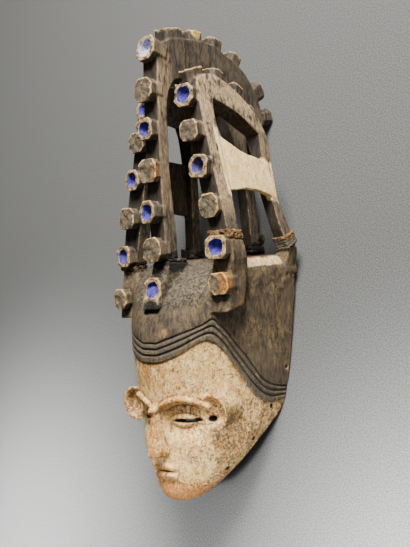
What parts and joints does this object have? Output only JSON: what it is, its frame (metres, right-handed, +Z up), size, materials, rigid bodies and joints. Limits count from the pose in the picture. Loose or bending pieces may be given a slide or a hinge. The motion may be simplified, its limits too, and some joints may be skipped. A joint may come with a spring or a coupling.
{
  "type": "helmet mask",
  "caption": "Carved wooden helmet mask lying on its back: white face, arched brows, dark cap, and a tall openwork crest of fore-and-aft arches set with square knobs.",
  "frame": {"origin": "middle of the bounding box, on the floor the mask lies on", "axes": "+Z up from the floor, out through the face; +Y from the chin to the crest's top; +X to the mask's own left"},
  "size_m": [0.1804, 0.535, 0.214],
  "materials": {
    "helmet_wood": "white kaolin over the face, dark weathered stain on the hair and cap, matt",
    "arch_wood": "dark weathered stain, worn edges, some knob cups painted blue, matt",
    "fibre": "brown plant fibre set in resin, rough",
    "resin": "black pitch-like resin, dull"
  },
  "bodies": {
    "root": {"helmet": "helmet_wood", "arch_left": "arch_wood", "arch_centre": "arch_wood", "arch_right": "arch_wood", "repair_left_front": "fibre", "repair_centre_front": "resin", "repair_right_front": "fibre", "binding_left_rear": "fibre", "binding_right_rear": "resin", "binding_centre_rear": "resin"}
  },
  "joints": []
}
